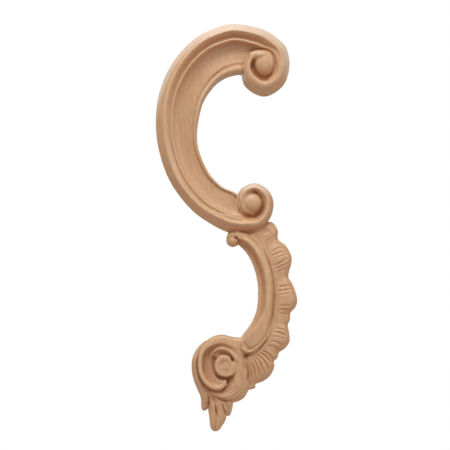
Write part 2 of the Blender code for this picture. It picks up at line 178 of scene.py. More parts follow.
def off_centre(centre, radii, height):
    """How far each cell lies from a drawn centre, as a share of the radii."""
    middle = on_board(centre, height)
    across = (cell_x[None, :] - middle[0]) / (radii[0] * SQUARE)
    up = (cell_z[:, None] - middle[1]) / (radii[1] * SQUARE)
    return np.hypot(across, up)


def ball(centre, radii, edge, top, fullness=0.5):
    """A round boss. At a fullness of one half it is a half ball, and nearer to one it is a softer swell."""
    away = off_centre(centre, radii, (edge + top) / 2)
    here = away < 1
    lift = edge + (top - edge) * (1 - np.minimum(away, 1) ** 2) ** fullness
    wood_height[here] = np.maximum(wood_height[here], lift[here])
    wood_here[here] = True


def ground(centre, radii, height):
    """A flat bed of wood under a group of members."""
    here = off_centre(centre, radii, height) < 1
    wood_height[here] = np.maximum(wood_height[here], height)
    wood_here[here] = True


def hollow(centre, radii, depth):
    """A soft hollow cut into what is there."""
    away = np.minimum(off_centre(centre, radii, USUAL_HEIGHT), 1)
    wood_height[:] = wood_height - depth * (1 - away**2) ** 2 * wood_here


def turns(centre, start, step, outer, inner, *values):
    """Rows of a volute by its radii at each eighth of a turn, with values spread evenly along it."""
    rows = []
    last = len(outer) - 1
    for index, (far, near) in enumerate(zip(outer, inner)):
        angle = math.radians(start + step * index)
        ray = np.array([math.cos(angle), math.sin(angle)])
        more = [np.interp(index / last, np.linspace(0, 1, len(value)), value) for value in values]
        rows.append((*(np.array(centre) + far * ray), *(np.array(centre) + near * ray), *more))
    return rows


# %% [markdown]
# The big scroll is one moulded band: from outside to inside a roll, a groove, a fillet, a hollow cove and a
# bead along the inner edge. Towards both ends the moulding closes to one plain ridge, which winds into a
# volute round a ball. A value between 0 and 1 turns the moulded section into the plain one.

# %% The big scroll
# The moulding's own sizes, in mm.
FULL_BAND = 17.0
ROLL_TOP = 16.5
GROOVE_AT = 9.6
FILLET_TOP = 15.1
COVE_AT = 15.6
USUAL_BEVEL = 6.8


def ridge_knots(crest, top, foot, outer_foot, count):
    """Knots of one rounded ridge: five up to the crest, and the others down to the inner foot."""
    knots = []
    for share, lift in ((0, 0), (0.2, 0.4), (0.5, 0.77), (0.8, 0.96), (1, 1)):
        knots.append((crest * share, outer_foot + (top - outer_foot) * lift))
    for step in range(1, count - 4):
        part = step / (count - 5)
        knots.append((crest + (1 - crest) * part, top - (top - foot) * part * part * (3 - 2 * part)))
    return knots


def scroll_section(width, plain, crest, top, edge, arris, groove, floor, brink, bead, foot):
    """The moulding and the plain ridge, mixed.

    Arris and bead are distances in mm, crest is a share of the width, and the rest are heights. A wide bevel
    pushes the groove and the fillet inwards, and a band narrower than the full one shrinks them all.
    """
    plain = np.clip(plain, 0, 1)
    fit = np.minimum(1, width / FULL_BAND)
    rise = ROLL_TOP - edge
    cove = COVE_AT * fit
    line = np.maximum(width - bead, cove + 0.5 * (width - cove))
    rest = width - line
    push = 0.5 * np.maximum(arris - USUAL_BEVEL, 0)
    slot = GROOVE_AT + push
    roll_side = ROLL_TOP - 0.3
    moulded = [(0, edge), (0.28 * arris * fit, edge + 0.32 * rise), (0.6 * arris * fit, edge + 0.66 * rise),
               (0.88 * arris * fit, edge + 0.93 * rise), (arris * fit, ROLL_TOP),
               ((arris + 0.5) * fit, roll_side),
               (0.5 * (arris + slot + 0.3) * fit, 0.5 * (roll_side + groove)),
               (slot * fit, groove), ((slot + 0.5) * fit, groove), ((slot + 1.3) * fit, FILLET_TOP - 0.2),
               ((slot + 2.1) * fit, FILLET_TOP),
               ((GROOVE_AT + 0.5 * push + 3.5) * fit, 0.55 * FILLET_TOP + 0.45 * floor), (cove, floor + 0.7),
               (cove + 0.3 * (line - cove), floor), (cove + 0.7 * (line - cove), 0.5 * (floor + brink)),
               (line - np.minimum(0.6, 0.2 * (line - cove)), brink), (line, brink - 0.7),
               (line + 0.22 * rest, brink + 1.8), (line + 0.55 * rest, brink + 2.1), (width, foot)]
    ridge = ridge_knots(crest, top, foot, edge, len(moulded))
    return [(place / width + (share - place / width) * plain, height + (high - height) * plain)
            for (place, height), (share, high) in zip(moulded, ridge)]


def main_band():
    waist = turns((254.5, 202.5), 45, -45,
                  (22.0, 18.8, 18.2, 19.2, 18.9, 18.1, 15.4, 13.2),
                  (10.2, 8.6, 9.2, 11.0, 9.6, 7.4, 6.4, 6.0), (1.0,),
                  (0.52, 0.5, 0.54, 0.54, 0.5, 0.45, 0.42, 0.42),
                  (16.3, 16.2, 16.0, 15.9, 15.8, 15.4, 14.0, 11.6),
                  (8, 8, 8, 8.6, 10, 11, 11, 10), (5.2,), (15,), (10,),
                  (10,), (2,), (9.8, 12.2, 12.8, 12.6, 13.6, 14.4, 13.0, 11.0))
    band = [
        (260, 229, 256.4, 215, 1, 0.52, 16.3, 8, 8.6, 15, 11, 10, 2.4, 8.8),
        (246, 232.5, 247.6, 216, 0.6, 0.57, 16.3, 8, 9.6, 14.8, 11, 10, 2.4, 8.8),
        (229, 232.5, 242, 211, 0, 0.3, 16.3, 8, 8.3, 14.8, 11.4, 10, 1.6, 9.4),
        (208, 222, 237, 194.4, 0, 0.3, 16.3, 8, 7.1, 14.6, 11.0, 9.8, 1.7, 9),
        (188, 206, 221, 186, 0, 0.3, 16.3, 8, 6.2, 14.4, 10.6, 9.9, 1.8, 9),
        (168, 177, 206.4, 169, 0, 0.3, 16.3, 8, 5.8, 14.2, 10.0, 9.6, 2.4, 9.4),
        (156.9, 138, 196.7, 140, 0, 0.3, 16.3, 8, 6.3, 13.9, 9.2, 10, 2.6, 10),
        (158.2, 98.2, 201, 106.6, 0, 0.3, 16.3, 8, 6.2, 13.5, 9.0, 10.0, 3.2, 10.2),
        (172.4, 63.4, 212, 87.4, 0, 0.3, 16.3, 8, 5.4, 12.8, 8.9, 10.2, 4.6, 10),
        (196.6, 37.6, 224.4, 77.4, 0, 0.3, 16.3, 8, 4.8, 12.2, 8.9, 10.2, 6.0, 9.4),
        (224, 25.5, 237.6, 73.6, 0, 0.3, 16.3, 8, 4.5, 12, 8.9, 10.2, 6.8, 8.8),
        (240, 24.7, 243.3, 73.4, 0, 0.3, 16.3, 8, 4.4, 12, 8.9, 10.2, 6.6, 8.8),
        (252, 26.8, 247, 62, 0, 0.4, 16.4, 8, 4.4, 12, 8.8, 11, 4, 10),
        (265, 30.6, 252, 55, 0, 0.4, 16.6, 8, 4.6, 12.2, 9.2, 10.8, 2, 10.6),
        (277, 38.4, 259.5, 51.8, 0.08, 0.5, 16.8, 8, 5, 12.6, 10, 11, 2, 11.4),
        (286, 47.8, 269.4, 54.2, 0.45, 0.55, 16.8, 8, 5.4, 13.2, 12, 12, 2, 13.0),
    ]
    top = turns((264.5, 65.5), 0, 45,
                (24.8, 26.8, 30.0, 27.4, 21.8, 19.6, 15.6, 13.2, 11.2),
                (9.8, 11.0, 13.6, 12.6, 12.6, 10.0, 5.0, 3.0, 2.0),
                (1.0,), (0.52, 0.6, 0.74, 0.8, 0.7, 0.5, 0.5, 0.5, 0.5), (16.8, 16.5, 16.1, 15.8, 15.8),
                (8, 8, 8, 8, 10), (5.2,), (13.4,), (12,), (12,), (2,),
                (13.2, 12.4, 10.6, 10.4, 10.8, 12.2, 15.0, 15.6, 15.8))
    return waist[::-1] + band + top


lay(main_band(), scroll_section)
ball((265.0, 62.3), (11.0, 13.4), 10.6, 17.0, 0.6)
ball((251.9, 202.4), (10.6, 10.5), 11.6, 16.2, 0.8)
ball((260.4, 54.8), (11.4, 5.4), 13.6, 16.8, 0.9)
ground((264.5, 71.5), (21, 21), 9.8)
ground((255, 203), (16, 16), 9.0)
print("big scroll laid, highest", round(float(wood_height.max()), 2), "mm")

# %% [markdown]
# The crescent is a blade with a broad ridge. Its inner side falls steeply to the edge, and a thin groove
# and a light lip part its outer side from the shell. It starts in a small curl and ends in a round tongue.

# %% The crescent
def blade_section(width, shoulder, top, gutter):
    shoulder = np.maximum(shoulder, 4.6 / width)
    fall = 1 - shoulder
    return [(0, gutter + 0.6), (1.3 / width, gutter - 0.3), (2.2 / width, gutter + 0.6),
            (3.8 / width, top - 0.3), (shoulder - 0.3 / width, top), (shoulder + 0.06 * fall, top - 0.2),
            (shoulder + 0.4 * fall, 0.5 * top + 2.4), (shoulder + 0.68 * fall, 7.0),
            (shoulder + 0.8 * fall, 7.0), (shoulder + 0.93 * fall, 6.8), (1, 5.6)]


def round_section(outer_foot, inner_foot):
    """A section with one rounded crest, whose place and height the rows give."""
    def section(width, crest, top):
        return ridge_knots(crest, top, inner_foot, outer_foot, 10)
    return section


blade = [
    (236, 231.5, 235.6, 243, 0.42, 13.0, 12.4), (244, 233.2, 239.6, 245.6, 0.42, 13.6, 12.4),
    (252, 237, 242.6, 248.4, 0.42, 13.9, 11.6), (259, 243.8, 247.1, 253.6, 0.42, 13.9, 11.6),
    (265, 252.2, 251.6, 261.4, 0.44, 13.9, 11.2), (270, 261.4, 255.1, 270.4, 0.46, 13.9, 11.0),
    (273.4, 270.6, 257, 278.2, 0.48, 13.9, 10.8), (276, 287, 258.4, 290, 0.52, 13.9, 10.6),
    (275.4, 308, 257.3, 308.2, 0.56, 13.9, 10.6), (273.4, 320, 253.7, 319.4, 0.64, 13.8, 10.8),
    (270, 331.5, 248.9, 327.8, 0.74, 13.7, 11.6), (264.6, 341, 244.6, 333.4, 0.82, 13.4, 12.0),
    (257.5, 347.2, 242, 338.4, 0.82, 13.2, 12.1), (252.5, 349, 246.3, 345.3, 0.8, 12.8, 12.0),
]
lip = [
    (278.3, 276, 275.3, 276, 0.5, 11.4), (279, 295, 276, 295, 0.5, 11.6),
    (277.8, 310, 275, 309.5, 0.5, 11.6), (270.5, 334.5, 267.5, 333, 0.5, 12),
    (264.5, 343.5, 260.8, 339.9, 0.5, 12.2), (256, 352, 253.8, 346.2, 0.5, 12.4),
    (247.5, 355.2, 248.5, 347.8, 0.5, 12.5), (241.6, 352.5, 245.6, 345.5, 0.5, 12.8),
    (240.2, 346, 244, 342, 0.5, 12.2), (241, 340.6, 244.2, 338.8, 0.5, 11),
]
curl = [
    (252, 237.5, 247, 243.5, 0.45, 12.8), (243, 232.2, 240.8, 238.6, 0.45, 13.2),
    (235, 230.8, 235.5, 236.8, 0.5, 13.2), (228.6, 233.0, 232.5, 237.8, 0.5, 12.8),
    (226.4, 238.4, 231.3, 240, 0.5, 12.2),
]
lay(blade, blade_section)
lay(lip, round_section(8.0, 9.0))
lay(curl, round_section(6.0, 8.0))
ball((232.9, 240.4), (6.6, 6.6), 7.4, 12.8, 0.6)
ground((246, 234), (14, 6), 9.6)
ground((232.0, 236.2), (4.4, 2.8), 12.0)
ground((234.6, 235.0), (3.4, 2.0), 12.7)
ground((243.6, 341.4), (3.6, 3.8), 9.2)
ground((248.4, 344.4), (5, 5), 11.9)
print("crescent laid")

# %% [markdown]
# The shell is a ruffled margin of four lobes and a fan. Its face swells on the lobes and its edge rolls
# down, which makes the outline look soft. The flutes are cut into it later.

# %% The shell
SHELL_FACE = 10.0
SHELL_SWELL = 1.5


def shell_section(width, swell):
    face = SHELL_FACE + SHELL_SWELL * swell
    return [(0, 4.6), (0.9 / width, 6.4), (0.16, face - 1.9), (0.34, face - 0.5), (0.6, face + 0.1),
            (0.8, SHELL_FACE + 0.5 + 0.5 * SHELL_SWELL * swell), (1, SHELL_FACE + 1.0), (1 + 3 / width, 8.0)]


shell = [
    (262, 226, 249, 236, 0.2), (271, 222, 255, 239.5, 0.4), (277.4, 229.8, 259, 244, 0.4),
    (278, 239.4, 263, 249, 0), (285.8, 246, 266.5, 254.5, 0.6), (291.3, 256, 270, 262, 1),
    (291, 263.8, 271.3, 269, 0.6), (289, 271.2, 272.5, 274.5, 0), (288.4, 277.6, 273.5, 280.5, -0.1),
    (292.8, 285, 274.5, 287.5, 0.6), (297, 298.6, 275, 298, 1), (295.3, 307, 274.9, 306, 0.8),
    (290.4, 312.6, 274.5, 311.5, 0.2), (289.9, 319.3, 274, 317, 0), (287.6, 325.2, 273.3, 321.8, 0),
    (288.9, 332, 272.6, 327, 0.7), (289.4, 341.5, 270.5, 335, 1), (284.6, 348.4, 267.6, 340.6, 0.6),
    (279, 352.3, 265, 344, 0), (277.2, 357.8, 262, 347.8, 0), (273.7, 361.3, 259, 350.5, 0),
    (274.2, 366.5, 255.8, 353, 0.3), (270.2, 375.3, 252.5, 355, 0.5), (263.4, 380.8, 250, 357, 0.4),
    (255.6, 384, 247.6, 358.5, 0), (254.6, 388, 245.5, 360, -0.6), (247, 390, 242, 361, -1),
]
lay(shell, shell_section)
ground((248, 353), (17, 12), 8.4)
print("shell laid")

# %% [markdown]
# The lower volute has a rim that carries a hollow channel and ends in a blunt hook. Its brow is the height
# of its outer edge. Inside lies a deep groove, and inside that the eye, a dome with a small curl on top.

# %% The lower volute
def rim_section(width, brow, crest, top, channel, floor, edge, edge_top, foot):
    return [(0, brow), (0.08 * crest, 0.5 * (brow + top)), (0.32 * crest, top - 0.4),
            (crest, top), (crest + 0.04, top - 0.2),
            (channel - 0.04, floor + 0.3), (channel + 0.03, floor), (0.5 * (channel + edge), floor + 0.25),
            (edge - 0.03, edge_top), (edge + 0.02, edge_top - 0.2), (1, foot)]


rim = [
    (246, 338, 236, 368, 11.0, 0.34, 12.2, 0.62, 11.9, 0.8, 12.6, 12.2),
    (243.5, 339, 234.5, 364, 11.2, 0.38, 12.7, 0.6, 12.1, 0.82, 13.2, 11.4),
    (238.5, 339, 233, 359.5, 11.4, 0.44, 13.0, 0.62, 12.0, 0.84, 13.5, 9.8),
    (231, 338, 228.4, 354.2, 11.4, 0.44, 13.3, 0.62, 11.6, 0.8, 13.7, 10.0),
    (222.5, 336, 221, 352, 11.4, 0.42, 13.4, 0.57, 11.3, 0.78, 13.7, 10.0),
    (213.4, 337.8, 215.4, 354, 11.0, 0.38, 13.6, 0.55, 10.4, 0.8, 12.6, 8.0),
    (204, 343.8, 212.8, 357.5, 10.0, 0.3, 13.8, 0.48, 9.0, 0.85, 10.8, 6.4),
    (198.9, 350.8, 213.0, 361.2, 9.0, 0.25, 13.9, 0.42, 8.2, 0.9, 9.1, 5.6),
    (197.3, 361, 213.4, 366, 9.0, 0.22, 14.0, 0.4, 7.9, 0.92, 8.4, 5.2),
    (198, 371.5, 214.2, 370.4, 9.0, 0.21, 14.0, 0.4, 8.0, 0.92, 8.5, 5.2),
    (201.5, 380.4, 217, 374.8, 9.0, 0.2, 13.9, 0.4, 8.9, 0.87, 9.4, 5.8),
    (207.5, 387, 219.4, 377.4, 9.0, 0.2, 13.5, 0.4, 9.8, 0.85, 10.5, 6.4),
    (214.3, 390.4, 222.4, 378.6, 9.0, 0.26, 13.0, 0.46, 10.9, 0.84, 11.4, 7.2),
    (220.8, 390.2, 224.6, 378.8, 9.0, 0.34, 12.8, 0.56, 11.9, 0.82, 11.9, 7.6),
    (226.5, 385.6, 226.2, 378.6, 9.0, 0.4, 12.2, 0.6, 12.0, 0.8, 11.7, 8.0),
]
eye = turns((225.0, 366.0), -20, 45,
            (13.5, 13.2, 12.0, 11.6, 11.4, 11.6, 12.8, 11.4, 8.6),
            (6.0, 6.0, 5.5, 5.0, 4.8, 4.4, 3.6, 2.4, 1.5),
            (0.17, 0.22, 0.21, 0.28, 0.3, 0.34, 0.3, 0.27, 0.3),
            (12.6, 13.2, 13.7, 14.0, 14.2, 14.4, 14.4, 14.3, 14.1), (13.5,))


def eye_section(width, crest, top, dimple):
    return ridge_knots(crest, top, dimple, 6.6, 10)


lay(rim, rim_section)
ground((219, 363), (20, 22), 7.4)
ground((223, 353.5), (10.5, 5), 9.8)
ground((221, 386), (14, 7), 7.0)
lay(eye, eye_section)
ball((226.6, 367.0), (10.0, 8.4), 9.6, 14.1, 0.6)
hollow((223.4, 365.0), (2.8, 2.6), 0.5)
print("lower volute laid")

# %% [markdown]
# A strand runs down beside the volute, a cup folds under it, and three leaves hang at the tip.

# %% Strand, cup and leaves
def leaf_section(width, vein, top):
    return [(0, 5.0), (0.3 * vein, top - 1.0), (0.7 * vein, top), (vein, top - 1.1),
            (vein + 0.3 * (1 - vein), top), (vein + 0.75 * (1 - vein), top - 1.2), (1, 5.0)]


strand = [
    (205, 341.5, 208, 345, 0.5, 8.5), (197.5, 348.7, 202.5, 353.5, 0.5, 10),
    (192.7, 358, 198.7, 361, 0.5, 11), (191.8, 367, 198.4, 368.5, 0.5, 11),
    (193.4, 378.4, 201.4, 377.5, 0.5, 11), (197.4, 389, 208, 387, 0.45, 10.8),
    (201, 397, 213, 393, 0.4, 10.2), (202, 404, 216, 399, 0.4, 9),
]
cup = [
    (248, 345, 236, 348, 0.5, 10.4), (248, 358, 235, 360, 0.6, 12), (249.5, 370, 232.6, 370, 0.7, 12.4),
    (250.5, 381, 229.6, 378.5, 0.68, 12.4), (248.5, 389.5, 228, 383, 0.6, 12),
    (243.2, 398.2, 225, 387.5, 0.54, 11.6), (233.8, 402.4, 220.5, 390.5, 0.54, 11.4),
    (224, 401.5, 215.5, 391, 0.52, 11), (215, 398.5, 210.5, 390, 0.5, 10.4),
]
left_leaf = [
    (198, 389, 209, 392, 0.55, 8.8), (201, 398, 209, 400, 0.5, 8.4), (201.2, 404, 208.5, 405, 0.5, 7.8),
    (201.8, 408.6, 207.4, 408.4, 0.5, 6.8), (203.2, 410.6, 205.4, 410.4, 0.5, 5.4),
]
middle_leaf = [
    (203, 393, 226, 395, 0.4, 10), (207, 402, 228, 402, 0.4, 9.5), (208.4, 410.4, 226.8, 411, 0.42, 9.2),
    (209.6, 418.4, 225.6, 419.6, 0.42, 8.8), (210.2, 425, 222.2, 425.4, 0.45, 8),
    (211.2, 428.6, 219.8, 429, 0.45, 7), (213.6, 431, 216.8, 431.2, 0.5, 5.2),
]
right_leaf = [
    (214, 398, 232, 398, 0.5, 9.2), (219.5, 405, 232.6, 405.4, 0.5, 8.8),
    (223.5, 411, 231.4, 411, 0.5, 7.9), (225.8, 414.2, 230.6, 413.8, 0.5, 6.8),
    (227.6, 415.8, 229.4, 415.6, 0.5, 5.4),
]
lay(strand, round_section(5.5, 8.4))
lay(cup, round_section(5.4, 9.0))
for leaf in (left_leaf, middle_leaf, right_leaf):
    lay(leaf, leaf_section)
hollow((229.4, 378.8), (4.6, 4.4), 1.2)
hollow((249, 357), (13, 7), 1.3)
hollow((245.2, 363), (5.5, 12), 2.1)
hollow((213, 400), (9, 7), 1.3)
hollow((266, 231.5), (6, 5), 1.0)
print("leaves laid,", round(float(wood_here.sum()) * CELL * CELL / MM / MM), "square mm of wood")

# %% [markdown]
# Fresh cuts have crisp edges, and sanding softens them. A blur of a quarter of a millimetre does the same to
# the grid. Only wood counts in it, so the outline isn't dragged down. Wider blurs then tell how far each
# place lies below its surroundings, where the colour gets painted shade, though not close to the outline.
# Places that stand above their surroundings get a painted highlight.

# %% Sanding
SANDING = 0.28 * MM


def blurred(values, reach):
    """The grid smoothed by a bell curve of this reach, one direction after the other."""
    cells = int(math.ceil(3 * reach / CELL))
    weights = np.exp(-0.5 * (np.arange(-cells, cells + 1) * CELL / reach) ** 2)
    weights /= weights.sum()
    for axis in (0, 1):
        padded = np.pad(values, [(cells, cells) if side == axis else (0, 0) for side in (0, 1)])
        size = values.shape[axis]
        values = sum(weight * padded.take(range(start, start + size), axis=axis)
                     for start, weight in enumerate(weights))
    return values


def wood_mean(heights, reach):
    """The mean height round each cell, of the cells with wood alone."""
    return blurred(heights * solid, reach) / np.maximum(blurred(solid, reach), 1e-6)


solid = wood_here.astype(float)
presence = blurred(solid, SANDING)
sanded = wood_mean(wood_height, SANDING)
# Shelter steers painted shade in hollows and, where it is negative, a painted highlight on raised ridges.
shelter = 0.5 * wood_mean(wood_height, 1.2 * MM) + 0.5 * wood_mean(wood_height, 3.2 * MM) - sanded
shelter *= np.clip(3.4 * blurred(solid, 2.2 * MM) - 2.3, 0, 1)
print("deepest below its surroundings", round(float(shelter[wood_here].max()), 2), "mm")

# %% [markdown]
# The outline is where the blurred map of wood passes one half. Each grid square that it crosses gives one
# short piece of it, and the pieces are chained into loops and divided evenly. Specks are left out.

# %% The outline
SKIN = 0.43 * MM
SPECK = 400  # crossings


def crossing(field, key):
    """Where the field passes zero on one edge of the grid, in metres."""
    row, column, down = key
    first = field[row, column]
    second = field[row + 1, column] if down else field[row, column + 1]
    share = first / (first - second)
    return (cell_x[column] + (0 if down else share * CELL), cell_z[row] + (share * CELL if down else 0))


def outline_loops(field):
    inside = field > 0
    mixed = inside[:-1, :-1].astype(int) + inside[1:, :-1] + inside[:-1, 1:] + inside[1:, 1:]
    follow = {}
    for row, column in np.argwhere((mixed > 0) & (mixed < 4)):
        corners = ((row, column), (row, column + 1), (row + 1, column + 1), (row + 1, column))
        edges = ((row, column, 0), (row, column + 1, 1), (row + 1, column, 0), (row, column, 1))
        state = [inside[corner] for corner in corners]
        leaving = [side for side in range(4) if state[side] and not state[(side + 1) % 4]]
        for side in leaving:
            other = (side + 1) % 4
            while state[(other + 1) % 4] == state[other] or not state[(other + 1) % 4]:
                other = (other + 1) % 4
            follow[tuple(int(part) for part in edges[side])] = tuple(int(part) for part in edges[other])
    loops = []
    while follow:
        start, after = follow.popitem()
        loop = [start]
        while after != start:
            loop.append(after)
            after = follow.pop(after)
        loops.append(np.array([crossing(field, key) for key in loop]))
    return loops


def evenly(loop, spacing):
    """The closed loop's points set at even distances."""
    closed = np.concatenate([loop, loop[:1]])
    run = np.concatenate([[0], np.cumsum(np.linalg.norm(np.diff(closed, axis=0), axis=1))])
    along = np.linspace(0, run[-1], int(run[-1] / spacing) + 1)[:-1]
    return np.stack([np.interp(along, run, closed[:, side]) for side in (0, 1)], axis=1)


loops = [evenly(loop, SKIN) for loop in outline_loops(presence - 0.5) if len(loop) > SPECK]
print("outline loops of", [len(loop) for loop in loops], "points")

# %% [markdown]
# Inside the outline go points in a honeycomb, the packing that gives triangles of even shape. They are
# joined to the outline by a Delaunay triangulation, and each point is lifted to its height.

# %% The skin
WELL_INSIDE = 0.82


def read_grid(values, places):
    """A grid's values at any places, shared out between the four nearest cells."""
    at = (places - LOW) / CELL - 0.5
    base = np.clip(np.floor(at).astype(int), 0, np.array(SHAPE[::-1]) - 2)
    part = at - base
    column, row = base.T
    across, up = part.T
    return (values[row, column] * (1 - across) * (1 - up) + values[row, column + 1] * across * (1 - up)
            + values[row + 1, column] * (1 - across) * up + values[row + 1, column + 1] * across * up)


def honeycomb(spacing):
    """Points in a honeycomb that lie well inside the outline."""
    points = []
    for index, z in enumerate(np.arange(LOW[1], HIGH[1], spacing * math.sqrt(3) / 2)):
        xs = np.arange(LOW[0] + (index % 2) * spacing / 2, HIGH[0], spacing)
        points.append(np.stack([xs, np.full(len(xs), z)], axis=1))
    points = np.concatenate(points)
    return points[read_grid(presence, points) > WELL_INSIDE]


rim_points = np.concatenate(loops)
inner_points = honeycomb(SKIN)
rim_edges = []
for loop in loops:
    start = len(rim_edges)
    rim_edges += [(start + index, start + (index + 1) % len(loop)) for index in range(len(loop))]
flat = np.concatenate([rim_points, inner_points]) / MM
skin = delaunay_2d_cdt([Vector(point) for point in flat], rim_edges, [], 1, 1e-6)
places = np.array([(point.x, point.y) for point in skin[0]]) * MM
print(len(places), "points and", len(skin[2]), "triangles on the front")

# %% [markdown]
# The front is closed to a solid: its border is drawn straight back to the wall and the flat back is
# filled. The border and the back's edge stay sharp, and all the carving is shaded smooth.

# %% Closing the body
def closed_body(name, places, faces):
    lift = read_grid(sanded, places) * MM
    shape = bmesh.new()
    points = [shape.verts.new((x, -y, z)) for (x, z), y in zip(places, lift)]
    for face in faces:
        shape.faces.new([points[index] for index in face])
    border = [edge for edge in shape.edges if edge.is_boundary]
    made = bmesh.ops.extrude_edge_only(shape, edges=border)["geom"]
    for point in made:
        if isinstance(point, bmesh.types.BMVert):
            point.co.y = 0
    rear = [edge for edge in made if isinstance(edge, bmesh.types.BMEdge) and edge.is_boundary]
    sharp = set(border) | set(rear)
    cap = bmesh.ops.edgeloop_fill(shape, edges=rear)["faces"]
    bmesh.ops.triangulate(shape, faces=cap)
    bmesh.ops.recalc_face_normals(shape, faces=shape.faces)
    for face in shape.faces:
        face.smooth = True
    for edge in shape.edges:
        edge.smooth = edge not in sharp
    mesh = bpy.data.meshes.new(name)
    shape.to_mesh(mesh)
    shape.free()
    return mesh


mesh = closed_body("applique", places, skin[2])
print("body of", len(mesh.vertices), "points")

# %% [markdown]
# Two numbers at each point of the body steer the painted shade and painted highlight in its colour later: how
# sheltered it lies, and how much it looks up. Looking up only counts where the wood stands open, not inside a
# groove, and mostly in the upper half. The bevels round the top end count as looking up whichever way they
# face, so they get the painted highlight too.

# %% Where shade and highlight are painted
FRONT = -0.5 * MM  # the carved face lies before this plane
rise_up, rise_across = np.gradient(wood_mean(sanded, 0.3 * MM), CELL / MM)
looks_up = -rise_up / np.sqrt(1 + rise_up**2 + rise_across**2)
# Painted highlight only where the wood stands open and stronger in the upper half. Painted shade where it
# looks down.
openness = np.clip((sanded - blurred(wood_height * solid, 2.4 * MM)) / 2.0, 0, 1)
upper_half = np.clip((cell_z + 20 * MM) / (45 * MM), 0.3, 1)[:, None]
# Bevels near the outline at the top end get the painted highlight whichever way they face.
top_end = np.clip((cell_z - 60 * MM) / (50 * MM), 0, 1)[:, None]
near_edge = np.clip(5 * (0.93 - blurred(solid, 3 * MM)), 0, 1)
looks_up = np.where(looks_up > 0, looks_up * openness * upper_half, looks_up) + 0.9 * near_edge * top_end
spots = np.array([(point.co.x, point.co.z) for point in mesh.vertices])
in_front = np.array([point.co.y < FRONT for point in mesh.vertices])
# Both numbers are kept for the wood's painted shade and painted highlight.
for label, grid in (("shelter", shelter), ("looks_up", looks_up)):
    mesh.attributes.new(label, "FLOAT", "POINT").data.foreach_set("value", read_grid(grid, spots) * in_front)

# %% [markdown]
# Flutes, veins and the lines between members are single strokes of a narrow gouge. Each is a path with the
# half width of the cut and its depth, both in mm, and every stroke runs out at its two ends.

# %% The strokes
flutes = [
    (((263, 238.5), (268, 236), (273, 231.5)), 0.9, 0.34),
    (((265, 241.5), (270, 239), (275.5, 234)), 0.9, 0.34),
    (((271, 252.6), (280, 247.6), (287.3, 248.6)), 1.0, 0.72),
    (((271, 256.2), (279.8, 252.9), (287.6, 250.8)), 1.0, 0.72),
    (((277, 258), (283, 255.4), (289, 253.4)), 0.85, 0.42),
    (((272, 266.6), (281.1, 262.4), (289.8, 257.4)), 1.0, 0.72),
    (((273, 270), (283.2, 265.8), (290, 261.8)), 1.0, 0.72),
    (((276, 272.4), (283, 269.6), (287.6, 267.6)), 0.85, 0.47),
    (((278, 287.2), (285, 286), (293, 284.8)), 1.0, 0.77),
    (((278, 291.6), (284, 290.5), (292.5, 288.8)), 1.0, 0.77),
    (((278, 295.2), (284, 294.4), (290, 293.6)), 0.85, 0.42),
    (((278.5, 305.6), (285, 305.6), (292, 306.2)), 0.95, 0.64),
    (((278.6, 309.4), (285, 309.6), (292, 310.8)), 1.0, 0.77),
    (((278.6, 313.2), (284, 314), (289, 315.6)), 0.9, 0.55),
    (((274, 328.2), (283, 329.6), (288.4, 334)), 1.0, 0.77),
    (((272.5, 332.4), (280.6, 333.2), (287.6, 336.8)), 1.0, 0.77),
    (((272, 336.4), (279, 337.2), (285.6, 340)), 0.85, 0.42),
    (((269, 341.6), (277, 342.4), (284, 347.2)), 1.0, 0.72),
    (((266.5, 346.2), (274.5, 346.8), (280.4, 351.6)), 1.0, 0.72),
]
fan = [
    (((261, 350.2), (268, 353.8), (273.8, 360.2)), 0.95, 1.0),
    (((258.5, 352), (266, 356.8), (272.8, 366.2)), 0.95, 1.1),
    (((256, 354), (263.4, 360), (270, 371.4)), 0.95, 1.1),
    (((253.8, 356), (260.2, 363), (265.4, 375)), 0.95, 1.1),
    (((251.8, 357.6), (257, 365.4), (260.6, 377.8)), 0.95, 1.1),
    (((250, 359.4), (253.7, 367.5), (256, 379)), 0.9, 1.0),
    (((248.4, 361.4), (250.7, 369), (251.8, 380.6)), 0.85, 0.9),
]
leaf_veins = [
    (((214.4, 403), (215.8, 410), (217.4, 418)), 1.0, 1.3),
    (((210.6, 401), (211.4, 407), (212, 414)), 0.8, 0.8),
    (((221.4, 403), (223.6, 409.5), (225.6, 416)), 0.95, 1.2),
    (((226.4, 402.6), (228.6, 407), (229.2, 411.5)), 0.8, 0.9),
    (((205.4, 397), (206.4, 402), (205.6, 407)), 0.7, 0.7),
    (((207.2, 394), (208.7, 401), (208.6, 408)), 1.0, 1.6),
]
